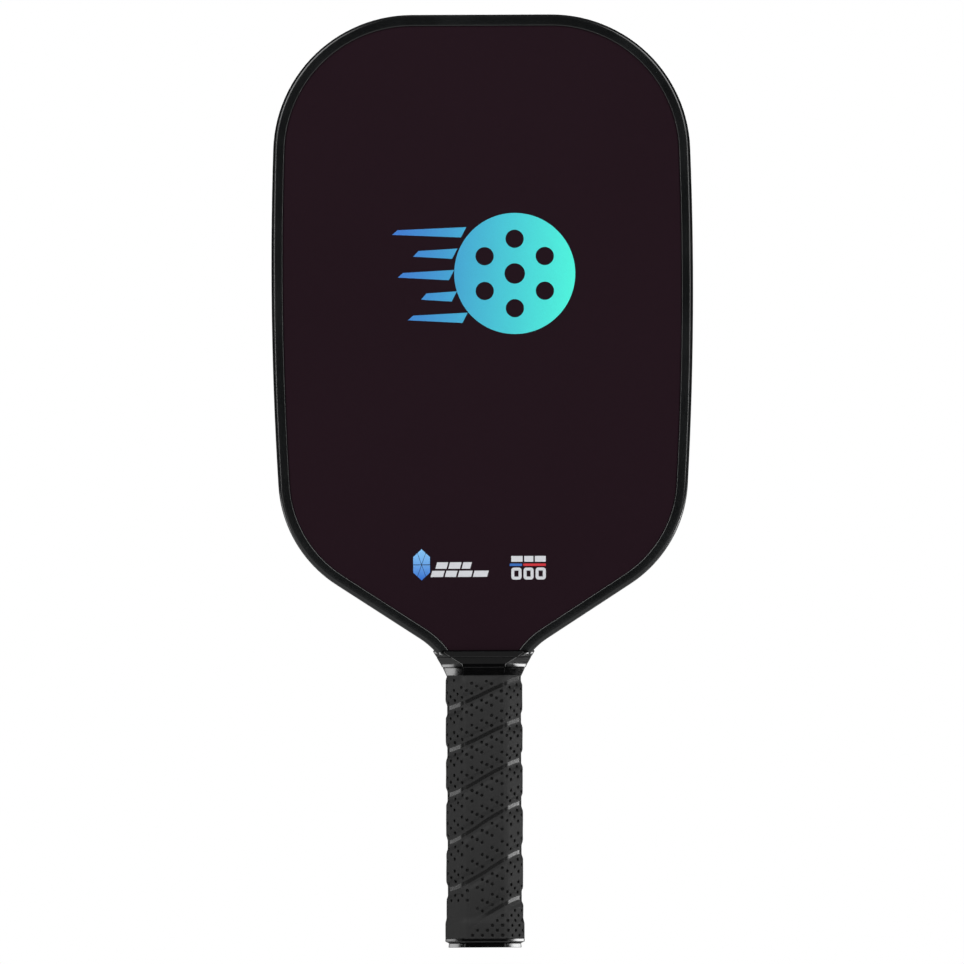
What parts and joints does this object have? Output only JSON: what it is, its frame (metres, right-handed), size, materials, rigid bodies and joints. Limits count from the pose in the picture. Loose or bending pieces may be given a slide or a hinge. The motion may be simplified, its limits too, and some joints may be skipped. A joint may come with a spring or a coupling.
{
  "type": "pickleball paddle",
  "caption": "Pickleball paddle with a honeycomb-cored panel head, an edge guard, a flared throat collar and an eight-sided handle wound with perforated tape.",
  "frame": {"origin": "centre of the butt's flat end face", "axes": "+Z along the handle towards the top of the head, +X across the width to the right seen from the front, the front hitting face looks towards -Y"},
  "size_m": [0.1894, 0.0318, 0.4191],
  "materials": {
    "core_plastic": "milky extruded polypropylene, matt",
    "bond_adhesive": "cured amber adhesive film",
    "face_laminate": "fine-grained matt fibre laminate, near-black with a purple tint",
    "guard_plastic": "satin black moulded edge strip",
    "foam_tape": "white double-sided foam tape",
    "pallet_plastic": "moulded dark plastic, matt",
    "collar_plastic": "polished black moulding",
    "finishing_vinyl": "thin black vinyl tape",
    "grip_tape": "dull black synthetic leather, perforated and cushioned",
    "cap_plastic": "satin to gloss black moulding",
    "staple_steel": "bright steel wire"
  },
  "bodies": {
    "root": {"honeycomb_core": "core_plastic", "front_bond_film": "bond_adhesive", "back_bond_film": "bond_adhesive", "front_face_sheet": "face_laminate", "back_face_sheet": "face_laminate", "edge_guard": "guard_plastic", "edge_guard_tape": "foam_tape", "front_handle_pallet": "pallet_plastic", "back_handle_pallet": "pallet_plastic", "front_pallet_tape": "foam_tape", "back_pallet_tape": "foam_tape", "throat_collar": "collar_plastic", "finishing_tape": "finishing_vinyl", "grip_wrap": "grip_tape", "butt_cap": "cap_plastic", "butt_end_plate": "cap_plastic", "butt_cap_staples": "staple_steel"}
  },
  "joints": []
}
